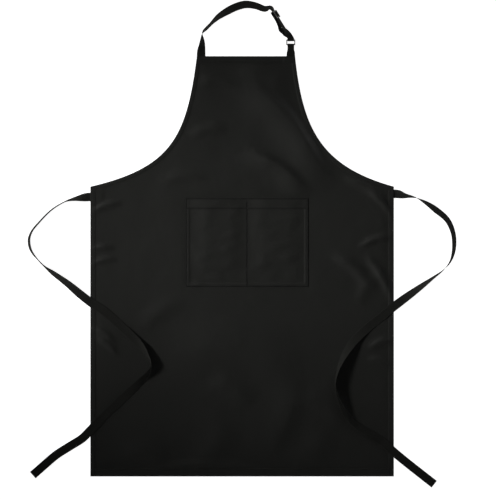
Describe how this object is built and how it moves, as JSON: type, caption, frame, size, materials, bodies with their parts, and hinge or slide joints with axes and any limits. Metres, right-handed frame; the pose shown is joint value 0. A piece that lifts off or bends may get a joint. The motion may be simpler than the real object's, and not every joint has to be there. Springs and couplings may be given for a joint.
{
  "type": "artist smock apron",
  "caption": "Artist's bib apron laid flat, with a divided front pocket, an adjustable neck strap on a ring and slider, and long waist ties.",
  "frame": {"origin": "middle of the waistline on the back of the cloth, where the apron lies on the table", "axes": "+X across the apron to the right as seen from the front, +Y up towards the neck, +Z out of the front of the cloth"},
  "size_m": [0.9467, 1.0753, 0.0263],
  "materials": {
    "twill": "black polyester-cotton twill with a soft sheen",
    "webbing": "black woven twill tape",
    "thread": "black spun polyester thread",
    "moulded_plastic": "black moulded plastic with a soft gloss"
  },
  "bodies": {
    "apron": {"front_panel": "twill", "pocket_panel": "twill", "side_seam_left": "thread", "side_seam_right": "thread", "bottom_hem_seam": "thread", "top_hem_seam": "thread", "armhole_seam_left": "thread", "armhole_seam_right": "thread", "pocket_seam": "thread", "pocket_divider_seam": "thread", "pocket_hem_seam_left": "thread", "pocket_hem_seam_right": "thread", "pocket_tack_left": "thread", "pocket_tack_middle": "thread", "pocket_tack_right": "thread", "strap_sewn_end": "webbing", "tab_sewn_end": "webbing", "strap_tack_seam": "thread", "tab_tack_seam": "thread", "tie_tack_seam_left": "thread", "tie_tack_seam_right": "thread", "tie_left": "webbing", "tie_right": "webbing"},
    "neck_loop": {"neck_strap": "webbing", "ring_tab": "webbing", "strap_return": "webbing"},
    "ring": {"strap_ring": "moulded_plastic"},
    "slider": {"strap_slider": "moulded_plastic", "strap_end_wrap": "webbing", "strap_end_seam": "thread"}
  },
  "joints": [
    {"name": "neck_loop_fold", "type": "hinge", "parent": "apron", "child": "neck_loop", "pos_m": [0.0085, 0.2883, 0.003], "axis": [1, 0, 0], "range_deg": [0, 150]},
    {"name": "slider_slide", "type": "slide", "parent": "neck_loop", "child": "slider", "axis": [0.5299, -0.848, 0], "range_m": [0, 0.02], "deforming": ["strap_return"]},
    {"name": "ring_swivel", "type": "hinge", "parent": "neck_loop", "child": "ring", "pos_m": [0.1075, 0.313, 0.00266], "axis": [1, 0, 0], "range_deg": [0, 8]}
  ]
}
